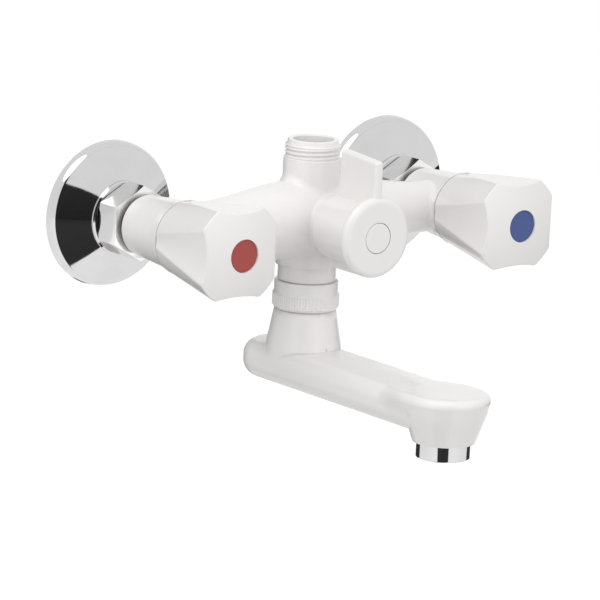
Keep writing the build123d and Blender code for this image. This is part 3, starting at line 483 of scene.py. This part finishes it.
def cut_thread(bm, centre, axis, radius, low, high, pitch, depth):
    """Press a rounded V groove into the rows of vertices that lie at the crest radius."""
    along, out, side = across(axis)
    radius_slack = 0.05 * MM
    crest_width = 1.4
    for vert in bm.verts:
        arm = vert.co - centre
        height = arm.dot(along)
        flat = arm - along * height
        if low < height < high and abs(flat.length - radius) < radius_slack:
            turned = atan2(flat.dot(side), flat.dot(out)) / (2 * pi)
            wave = (1 - cos(2 * pi * ((height - low) / pitch - turned))) / 2
            fade = min(1.0, 2 * (height - low) / pitch, 2 * (high - height) / pitch)
            vert.co -= flat.normalized() * depth * fade * wave ** crest_width


def slice_rows(bm, centre, axis, heights):
    """Cut a mesh into rows of faces square to an axis."""
    along = across(axis)[0]
    for height in heights:
        bmesh.ops.bisect_plane(
            bm, geom=bm.verts[:] + bm.edges[:] + bm.faces[:], dist=SNAP,
            plane_co=centre + along * height, plane_no=along)


def copy_of(node):
    """A merged copy of a CAD node's mesh."""
    bm = bmesh.new()
    bm.from_mesh(frame["nodes"][node].data)
    bmesh.ops.remove_doubles(bm, verts=bm.verts, dist=MERGE)
    return bm


def middle(node):
    """Centre of a CAD node's box."""
    low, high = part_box(node)
    return (low + high) / 2


def ends_of(edge, side):
    """The two ends of an edge, in order along a direction."""
    return sorted(edge.verts, key=lambda vert: vert.co.dot(side))


class TAP_OT_white_mouldings(Operator):
    """Gloss white plastic on the handles and on the diverter's knob and cap"""

    bl_idname = "tap.white_mouldings"
    bl_label = "White mouldings"

    def execute(self, context):
        colours = context.scene.tap_finishes
        white = moulded_plastic("moulded_white", tuple(colours.white), 0.2)
        for name in ("hot_handle", "cold_handle", "diverter_knob", "diverter_cap"):
            show_with(name, white)
        return {"FINISHED"}


class TAP_OT_spout(Operator):
    """The swivel spout, whose arm flares smoothly into its head"""

    bl_idname = "tap.spout"
    bl_label = "Spout"

    top, foot = -56.02 * MM, -73.1 * MM
    head_radius, head_rounding = 19.0 * MM, 3.0 * MM
    head_foot = Vector((13.3, -77.1)) * MM
    slack = 0.03 * MM
    crown_steps, arc_steps, side_steps, foot_steps = 6, 8, 4, 6

    def execute(self, context):
        head = middle("aerator_shell")
        head.z = 0
        rim = self.rim_of_head()
        arm = self.side_of_arm()
        saddle = self.flare(arm, self.side_of_head(arm, rim), head.y)
        body = self.thing_from("spout_copy", self.slimmed_copy(rim, head))
        extras = [self.thing_from("flare", saddle),
                  self.thing_from("ring", self.front_of_head(rim, head))]
        for extra in extras:
            join = body.modifiers.new(extra.name, "BOOLEAN")
            join.operation = "UNION"
            join.solver = "EXACT"
            join.object = extra
        whole = bmesh.new()
        whole.from_mesh(bpy.data.meshes.new_from_object(
            body.evaluated_get(context.evaluated_depsgraph_get())))
        for thing in (body, *extras):
            bpy.data.objects.remove(thing)
        bmesh.ops.triangulate(whole, faces=whole.faces[:])
        new_piece("flared_spout", whole, bpy.data.materials["moulded_white"], "spout")
        return {"FINISHED"}

    def thing_from(self, name, bm):
        """An object for a union, from a bmesh whose normals may still be mixed."""
        bmesh.ops.recalc_face_normals(bm, faces=bm.faces)
        mesh = bpy.data.meshes.new(name)
        bm.to_mesh(mesh)
        bm.free()
        thing = bpy.data.objects.new(name, mesh)
        bpy.context.scene.collection.objects.link(thing)
        return thing

    def rim_of_head(self):
        """The head's flat top and rounded rim, which turns in to meet its tapered side."""
        tuck = 0.313
        flat = self.head_radius - self.head_rounding
        line = [Vector((flat * i / self.crown_steps, self.top)) for i in range(self.crown_steps)]
        for i in range(self.arc_steps + 1):
            angle = (pi / 2 + tuck) * i / self.arc_steps
            line.append(Vector((flat + self.head_rounding * sin(angle),
                                self.top - self.head_rounding * (1 - cos(angle)))))
        return line

    def cone(self, rim, height):
        """Radius of the head's tapered side at a height."""
        taper = (rim[-1].x - self.head_foot.x) / (rim[-1].y - self.head_foot.y)
        return self.head_foot.x + taper * (height - self.head_foot.y)

    def front_of_head(self, rim, head):
        """The head's rim and tapered side, turned round its front and sides."""
        inner, lowest = 12 * MM, self.head_foot.y + 0.5 * MM
        bm = bmesh.new()
        turn(bm, [(inner, self.top), *((point.x, point.y) for point in rim[self.crown_steps:]),
                  (self.cone(rim, lowest), lowest), (inner, lowest)],
             head, UP, steps=80, sector=(radians(10), radians(-200)))
        bmesh.ops.holes_fill(bm, edges=bm.edges[:], sides=0)
        return bm

    def slimmed_copy(self, rim, head):
        """The solid's mesh in short rows along the flare, its blunter rim drawn inside the new."""
        rows_along_flare = (5.9, 10.7, 15.5, 20.3, 25.1, 29.5)
        rim_low, rim_high, widest = -61.1 * MM, -59.4 * MM, self.head_radius + 0.05 * MM
        inside = 5 * self.slack
        copy = copy_of("spout")
        slice_rows(copy, head, (0, 1, 0), [reach * MM for reach in rows_along_flare])
        for vert in copy.verts:
            out = Vector((vert.co.x, vert.co.y - head.y, 0))
            within = self.cone(rim, vert.co.z) - inside
            if rim_low < vert.co.z < rim_high and within < out.length < widest:
                vert.co -= out * (1 - within / out.length)
        return copy

    def side_of_arm(self):
        """Half of the arm's outline, from the middle of its top to low on its foot's rounding."""
        crown, half, upper, lower = 70 * MM, 16.6 * MM, 6.5 * MM, 7.8 * MM
        lean = 0.158
        reach = half - upper * (1 - sin(lean))
        shoulder = self.top - reach ** 2 / (2 * crown)
        line = [Vector((reach * i / self.crown_steps,
                        self.top - (reach * i / self.crown_steps) ** 2 / (2 * crown)))
                for i in range(self.crown_steps)]
        for i in range(self.arc_steps + 1):
            angle = lean + (pi / 2 - lean) * i / self.arc_steps
            line.append(Vector((half - upper + upper * sin(angle),
                                shoulder - upper * (cos(lean) - cos(angle)))))
        side_top = line[-1].y
        drop = self.foot + lower - side_top
        line += [Vector((half, side_top + drop * i / self.side_steps))
                 for i in range(1, self.side_steps)]
        for i in range(self.foot_steps + 1):
            angle = pi / 2 * i / self.arc_steps
            line.append(Vector((half - lower * (1 - cos(angle)),
                                self.foot + lower * (1 - sin(angle)))))
        return line

    def side_of_head(self, arm, rim):
        """The outline that the arm's one grows into, point by point against it."""
        foot_arc = arm[-self.foot_steps - 1:]
        widest = Vector((self.cone(rim, foot_arc[0].y), foot_arc[0].y))
        line = rim + [rim[-1].lerp(widest, i / self.side_steps)
                      for i in range(1, self.side_steps)]
        line += [point + Vector(((widest.x - foot_arc[0].x) * (1 - i / self.arc_steps), 0))
                 for i, point in enumerate(foot_arc)]
        return [Vector((point.x * (1 - self.slack / widest.x), point.y)) for point in line]

    def flare(self, arm, side, head_reach):
        """A saddle in the arm's skin that widens from the arm's outline to the head's."""
        start, end = head_reach + 28 * MM, head_reach + 4 * MM
        sheet, sunk = 1.4 * MM, 0.01
        core = Vector((0, (self.top + self.foot) / 2))
        last = len(arm) - 1
        growing = 20
        stations = growing + 1
        bm = bmesh.new()
        bmesh.ops.create_grid(bm, x_segments=2 * last, y_segments=stations, size=1)
        for vert in bm.verts:
            column = round(vert.co.x * last)
            station = round((vert.co.y + 1) / 2 * stations)
            ease = min(1, station / growing)
            grown = ease * ease * (3 - 2 * ease)
            outline = arm[abs(column)].lerp(side[abs(column)], grown)
            point = core + (outline - core) * (1 - sunk * (1 - ease))
            place = head_reach if station == stations else start + (end - start) * ease
            vert.co = (point.x if column > 0 else -point.x, place, point.y)
        bm.normal_update()
        if max(bm.verts, key=lambda vert: vert.co.z).normal.z < 0:
            bmesh.ops.reverse_faces(bm, faces=bm.faces)
        bmesh.ops.solidify(bm, geom=bm.faces[:], thickness=sheet)
        return bm


class TAP_OT_body_and_thread(Operator):
    """The body's moulding with the real cut thread of the shower outlet"""

    bl_idname = "tap.body_and_thread"
    bl_label = "Body and outlet thread"

    def execute(self, context):
        sizes = context.scene.tap_sizes
        nut = middle("spout_nut")
        column = Vector((nut.x, nut.y, 0))
        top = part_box("mixer_body")[1].z
        cut = sizes.neck_top - 0.3 * MM
        foot = sizes.neck_top - 0.1 * MM
        chamfer = 0.4 * MM
        crest_end = sizes.thread_top - 2 * chamfer
        bm = copy_of("mixer_body")
        bmesh.ops.bisect_plane(
            bm, geom=bm.verts[:] + bm.edges[:] + bm.faces[:], dist=SNAP,
            plane_co=(0, 0, cut), plane_no=UP, clear_outer=True)
        crests = [(sizes.crest_radius, height) for height in rows(
            sizes.neck_top, crest_end, sizes.thread_pitch, sizes.thread_rows)]
        turn(bm, [
            (sizes.neck_radius, foot),
            (sizes.neck_radius, sizes.neck_top),
            *crests,
            (sizes.rim_radius, sizes.thread_top),
            (sizes.rim_radius, top - chamfer),
            (sizes.rim_radius - chamfer, top),
            (sizes.outlet_bore + chamfer, top),
            (sizes.outlet_bore, top - chamfer),
            (sizes.outlet_bore, foot),
        ], column, UP, steps=96, closed=False)
        for radius in (sizes.neck_radius, sizes.outlet_bore):
            lips = (ring_edges(bm, column, UP, radius, cut)
                    + ring_edges(bm, column, UP, radius, foot))
            bmesh.ops.bridge_loops(bm, edges=lips)
        cut_thread(bm, column, UP, sizes.crest_radius, sizes.neck_top, crest_end,
                   sizes.thread_pitch, sizes.thread_depth)
        new_piece("body_with_thread", bm, bpy.data.materials["moulded_white"], "mixer_body")
        return {"FINISHED"}


class TAP_OT_index_caps(Operator):
    """Red and blue satin caps of the two handles"""

    bl_idname = "tap.index_caps"
    bl_label = "Index caps"

    def execute(self, context):
        colours = context.scene.tap_finishes
        for side, name, colour in (("hot", "red_cap", colours.red),
                                   ("cold", "blue_cap", colours.blue)):
            show_with(f"{side}_index_cap", moulded_plastic(name, tuple(colour), gloss=0.34))
        return {"FINISHED"}


class TAP_OT_chromed_pieces(Operator):
    """Satin chrome on the union nuts and bright chrome on the aerator's sleeve"""

    bl_idname = "tap.chromed_pieces"
    bl_label = "Chromed pieces"

    def execute(self, context):
        colours = context.scene.tap_finishes
        show_with("aerator_shell", chrome_plate("chrome_plate", tuple(colours.chrome), 0.035))
        satin = chrome_plate("satin_plate", tuple(colours.nut_plate), 0.09)
        for side in ("hot", "cold"):
            show_with(f"{side}_union_nut", satin)
        return {"FINISHED"}


class TAP_OT_wall_covers(Operator):
    """Thin spun wall covers: a rounded rim, a nearly straight cone and a raised collar"""

    bl_idname = "tap.wall_covers"
    bl_label = "Wall covers"

    def execute(self, context):
        sizes = context.scene.tap_sizes
        forward = (0, -1, 0)
        sheet, face_rows = 1.2 * MM, 12
        rim, rim_top = 31.2 * MM, 4.0 * MM
        collar, collar_foot, bevel = 16.4 * MM, 11.9 * MM, 0.7 * MM
        hole = 13.32 * MM
        span = rim - collar
        bend = ((collar_foot - rim_top) / span - sizes.cover_slope) / span
        face = []
        for step in range(face_rows + 1):
            inset = span * step / face_rows
            face.append((rim - inset, rim_top + sizes.cover_slope * inset + bend * inset ** 2))
        under = [(radius - sheet / 2, height - sheet) for radius, height in reversed(face[:-1])]
        for side in ("hot", "cold"):
            low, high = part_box(f"{side}_escutcheon")
            centre = Vector(((low.x + high.x) / 2, 0, (low.z + high.z) / 2))
            outer = (high.x - low.x) / 2
            bm = bmesh.new()
            turn(bm, [
                (outer, 0), *face, (collar, -low.y - bevel), (collar - bevel, -low.y),
                (hole, -low.y), (hole, collar_foot - sheet), (collar - sheet, collar_foot - sheet),
                *under, (outer - sheet, 0),
            ], centre, forward, steps=192)
            bmesh.ops.bevel(
                bm, geom=ring_edges(bm, centre, forward, rim, rim_top),
                offset=sizes.cover_rounding, offset_type="OFFSET", segments=6, profile=0.5,
                affect="EDGES", material=-1)
            new_piece(f"{side}_cover", bm, bpy.data.materials["chrome_plate"],
                      f"{side}_escutcheon")
        return {"FINISHED"}


class TAP_OT_unions(Operator):
    """Plated brass unions and inlet tails"""

    bl_idname = "tap.unions"
    bl_label = "Unions and tails"

    def execute(self, context):
        sizes = context.scene.tap_sizes
        plated = turned_metal("plated_brass", tuple(context.scene.tap_finishes.plated), 0.18)
        wall_side = (0, 1, 0)
        wall_end, nut_end, plain_end = -1.5 * MM, -9.8 * MM, 0.8 * MM
        per_turn = 0.75 * sizes.thread_rows
        low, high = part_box("hot_s_union")
        nut = middle("hot_union_nut")
        hot = copy_of("hot_s_union")
        threads = (
            (Vector((nut.x, 0, low.z + sizes.wall_thread)), sizes.wall_thread,
             wall_end, high.y - plain_end),
            (Vector((nut.x, 0, nut.z)), sizes.nut_thread, low.y + plain_end, nut_end),
        )
        for centre, radius, start, end in threads:
            slice_rows(hot, centre, wall_side, rows(start, end, sizes.thread_pitch, per_turn))
            cut_thread(hot, centre, wall_side, radius, start, end, sizes.thread_pitch,
                       sizes.thread_depth)
        cold = hot.copy()
        bmesh.ops.translate(cold, verts=cold.verts, vec=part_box("cold_s_union")[0] - low)
        for side, bm in (("hot", hot), ("cold", cold)):
            show_with(f"{side}_inlet_tail", plated)
            new_piece(f"{side}_threaded_union", bm, plated, f"{side}_s_union")
        return {"FINISHED"}


class TAP_OT_spout_nut(Operator):
    """The spout's nut with upright gripping ribs round its bead"""

    bl_idname = "tap.spout_nut"
    bl_label = "Spout nut"

    def execute(self, context):
        sizes = context.scene.tap_sizes
        low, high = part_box("spout_nut")
        column = middle("spout_nut")
        column.z = 0
        bead = (high.x - low.x) / 2
        step, tuck = 0.6 * MM, 1.1 * MM
        band = bead - step
        bead_top, bead_foot = high.z - 5.8 * MM, low.z + 1.3 * MM
        edge, chamfer, crest_width = 0.5 * MM, 0.3 * MM, 1.5
        thread, lip, lip_top = 11.4 * MM, 9.5 * MM, low.z + 2.7 * MM
        ribbed = [(bead, height) for height in (
            bead_top, bead_top - edge, bead_foot + edge, bead_foot)]
        bm = bmesh.new()
        turn(bm, [
            (thread, high.z), (band - chamfer, high.z), (band, high.z - chamfer),
            (band, bead_top + step), *ribbed, (bead - tuck, low.z), (lip, low.z),
            (lip, lip_top), (thread, lip_top),
        ], column, UP, steps=6 * sizes.rib_count)
        rib_top, rib_foot = bead_top - 0.1 * MM, bead_foot + 0.1 * MM
        for vert in bm.verts:
            arm = vert.co - column
            radius = Vector((arm.x, arm.y, 0)).length
            if abs(radius - bead) < 0.01 * MM and rib_foot < arm.z < rib_top:
                groove = (1 - cos(sizes.rib_count * atan2(arm.y, arm.x))) / 2
                vert.co -= (Vector((arm.x, arm.y, 0)) / radius
                            * sizes.rib_depth * groove ** crest_width)
        new_piece("ribbed_nut", bm, bpy.data.materials["moulded_white"], "spout_nut")
        return {"FINISHED"}


class TAP_OT_valve_parts(Operator):
    """Brass, ceramic, rubber, steel and acetal finishes of the parts inside"""

    bl_idname = "tap.valve_parts"
    bl_label = "Valve parts"

    def execute(self, context):
        colours = context.scene.tap_finishes
        brass = turned_metal("turned_brass", tuple(colours.brass), 0.22)
        ceramic = lapped_ceramic("lapped_ceramic", tuple(colours.ceramic))
        rubber = seal_rubber("seal_rubber", tuple(colours.rubber))
        steel = turned_metal("stainless_steel", tuple(colours.steel), 0.28)
        acetal = moulded_plastic("grey_acetal", tuple(colours.grey), 0.42)
        sided = (("valve_bonnet", brass), ("valve_spindle", brass), ("fixed_disc", ceramic),
                 ("moving_disc", ceramic), ("union_washer", rubber), ("seat_seal", rubber),
                 ("bonnet_gasket", rubber), ("spindle_o_rings", rubber),
                 ("spindle_clip", steel), ("handle_screw", steel))
        for name, material in sided:
            for side in ("hot", "cold"):
                show_with(f"{side}_{name}", material)
        single = (("diverter_bonnet", brass), ("diverter_spindle", brass),
                  ("diverter_spool", acetal), ("spout_retaining_ring", acetal),
                  ("aerator_cartridge", acetal), ("diverter_o_rings", rubber),
                  ("spout_o_rings", rubber), ("aerator_washer", rubber),
                  ("diverter_clip", steel), ("diverter_screw", steel), ("aerator_mesh", steel))
        for name, material in single:
            show_with(name, material)
        return {"FINISHED"}


class TAP_OT_studio(Operator):
    """Pale floor, soft lights and the camera at the photograph's view"""

    bl_idname = "tap.studio"
    bl_label = "Studio"

    # Name, place and diameter in metres, and the power's property
    lamps = (
        ("key_light", (-0.55, -0.25, 0.95), 0.9, "key"),
        ("fill_left", (-2.0, -0.8, 0.7), 1.6, "fill_left"),
        ("fill_right", (0.3, -2.1, 0.5), 1.6, "fill_right"),
    )
    # Name, degrees round from the camera, width in degrees, near end and top in metres
    cards = (
        ("card_front", 3, 42, 0.17, 1.65),
        ("card_left", -141, 56, 0.4, 2.0),
        ("card_right", 131, 40, 0.9, -0.15),
    )
    card_far = 2.0

    def execute(self, context):
        scene = context.scene
        studio = scene.tap_studio
        floor = CAD_BOX[0].z - studio.floor_drop
        self.make_camera(scene, studio)
        self.make_floor(scene, floor)
        self.make_world(scene, studio)
        for name, place, size, power in self.lamps:
            self.make_light(scene, name, place, size, getattr(studio, power))
        for name, aside, spread, near, top in self.cards:
            self.make_card(scene, name, studio.azimuth + radians(aside), spread,
                           (near, self.card_far), (floor, top))
        scene.view_settings.view_transform = "Standard"
        return {"FINISHED"}

    def make_camera(self, scene, studio):
        heading, tip, roll = studio.azimuth, studio.elevation, studio.roll
        back = Vector((sin(heading) * cos(tip), -cos(heading) * cos(tip), sin(tip)))
        level = Vector((cos(heading), sin(heading), 0))
        raised = back.cross(level)
        right = level * cos(roll) + raised * sin(roll)
        up = raised * cos(roll) - level * sin(roll)
        place = right * studio.aside + up * studio.above + back * studio.distance
        data = bpy.data.cameras.new("photo_camera")
        data.sensor_width = 36
        data.lens = data.sensor_width * studio.focal_ratio
        data.clip_start = 0.05
        data.clip_end = 60
        camera = bpy.data.objects.new("photo_camera", data)
        scene.collection.objects.link(camera)
        camera.matrix_world = (
            Matrix.Translation(place) @ Matrix((right, up, back)).transposed().to_4x4())
        scene.camera = camera

    def make_floor(self, scene, height):
        """A pale floor, lifted to white where it is looked at, that keeps the shadow."""
        darker, paler, lift = ((grey,) * 3 for grey in (0.56, 0.58, 0.55))
        bm = bmesh.new()
        bmesh.ops.create_grid(
            bm, x_segments=1, y_segments=1, size=30, matrix=Matrix.Translation((0, 0, height)))
        finish = Finish("pale_floor", Roughness=0.9, Emission_Strength=1.0)
        clouds = finish.noise(3)
        finish.feed(
            Base_Color=finish.blend(clouds, darker, paler),
            Emission_Color=finish.blend(finish.shown(), (0, 0, 0), lift))
        self.add_stage(scene, "floor", bm, finish.material)

    def make_world(self, scene, studio):
        world = bpy.data.worlds.new("studio_air")
        world.use_nodes = True
        scene.world = world
        air = Nodes(world.node_tree)
        white = (1, 1, 1, 1)
        light = air.node(
            "ShaderNodeBackground", {}, {"Color": white, "Strength": studio.ambient})
        backdrop = air.node("ShaderNodeBackground", {}, {"Color": white, "Strength": 1.0})
        both = air.node("ShaderNodeMixShader", {}, {0: air.shown(), 1: light, 2: backdrop})
        air.node("ShaderNodeOutputWorld", {}, {"Surface": both})

    def make_card(self, scene, name, heading, spread, distances, heights):
        """A dark wedge that runs out along the floor and stands up at its far end.

        It is seen only in the chrome's reflections, where it covers the angle of its spread."""
        out = Vector((sin(heading), -cos(heading), 0))
        side = Vector((cos(heading), sin(heading), 0)) * tan(radians(spread / 2))
        (near, far), (foot, top) = distances, heights
        above_floor = 5 * MM
        darker, paler = ((grey,) * 3 for grey in (0.012, 0.02))
        bm = bmesh.new()
        ends = [bm.verts.new(out * near + side * near * way) for way in (-1, 1)]
        edge = bm.edges.new(ends)
        for reach, grow, lift in ((out * (far - near), far / near, 0), (Vector(), 1, top - foot)):
            made = bmesh.ops.extrude_edge_only(bm, edges=[edge])["geom"]
            edge = next(item for item in made if isinstance(item, bmesh.types.BMEdge))
            for way, vert in zip((-1, 1), ends_of(edge, side)):
                vert.co += reach + side * way * near * (grow - 1) + Vector((0, 0, lift))
        bmesh.ops.translate(bm, verts=bm.verts, vec=(0, 0, foot + above_floor))
        finish = Finish(f"{name}_cloth", Roughness=0.9)
        finish.feed(Base_Color=finish.blend(finish.noise(9), darker, paler))
        card = self.add_stage(scene, name, bm, finish.material)
        card.visible_camera = False
        card.visible_diffuse = False
        card.visible_shadow = False

    def add_stage(self, scene, name, bm, material):
        """Put a piece of the studio into the scene."""
        mesh = bpy.data.meshes.new(name)
        bm.to_mesh(mesh)
        bm.free()
        mesh.materials.append(material)
        thing = bpy.data.objects.new(name, mesh)
        scene.collection.objects.link(thing)
        return thing

    def make_light(self, scene, name, place, size, power):
        """A soft round lamp aimed at the tap. Only the overhead one shows in the chrome."""
        data = bpy.data.lights.new(name, "AREA")
        data.shape = "DISK"
        data.size = size
        data.energy = power
        lamp = bpy.data.objects.new(name, data)
        scene.collection.objects.link(lamp)
        lamp.location = place
        lamp.visible_glossy = name == "key_light"
        lamp.rotation_mode = "QUATERNION"
        centre = (CAD_BOX[0] + CAD_BOX[1]) / 2
        lamp.rotation_quaternion = (centre - Vector(place)).to_track_quat("-Z", "Y")


STEPS = (
    TAP_OT_white_mouldings, TAP_OT_spout, TAP_OT_body_and_thread, TAP_OT_index_caps,
    TAP_OT_chromed_pieces, TAP_OT_wall_covers, TAP_OT_unions, TAP_OT_spout_nut,
    TAP_OT_valve_parts, TAP_OT_studio,
)


class TAP_PT_looks(Panel):
    """Builds the tap's looks step by step."""

    bl_idname = "TAP_PT_looks"
    bl_label = "Mixer Tap"
    bl_space_type = "VIEW_3D"
    bl_region_type = "UI"
    bl_category = "Mixer Tap"

    def draw(self, context):
        layout = self.layout
        for step in STEPS:
            layout.operator(step.bl_idname)
        for group in (context.scene.tap_sizes, context.scene.tap_finishes,
                      context.scene.tap_studio):
            column = layout.column()
            for name in group.bl_rna.properties.keys():
                if name not in ("rna_type", "name"):
                    column.prop(group, name)


CLASSES = (TapSizes, TapFinishes, TapStudio, *STEPS, TAP_PT_looks)


def register():
    for cls in CLASSES:
        bpy.utils.register_class(cls)
    bpy.types.Scene.tap_sizes = PointerProperty(type=TapSizes)
    bpy.types.Scene.tap_finishes = PointerProperty(type=TapFinishes)
    bpy.types.Scene.tap_studio = PointerProperty(type=TapStudio)


def unregister():
    del bpy.types.Scene.tap_studio
    del bpy.types.Scene.tap_finishes
    del bpy.types.Scene.tap_sizes
    for cls in reversed(CLASSES):
        bpy.utils.unregister_class(cls)


def main():
    register()
    for step in STEPS:
        group, name = step.bl_idname.split(".")
        getattr(getattr(bpy.ops, group), name)()


if __name__ == "__main__":
    main()
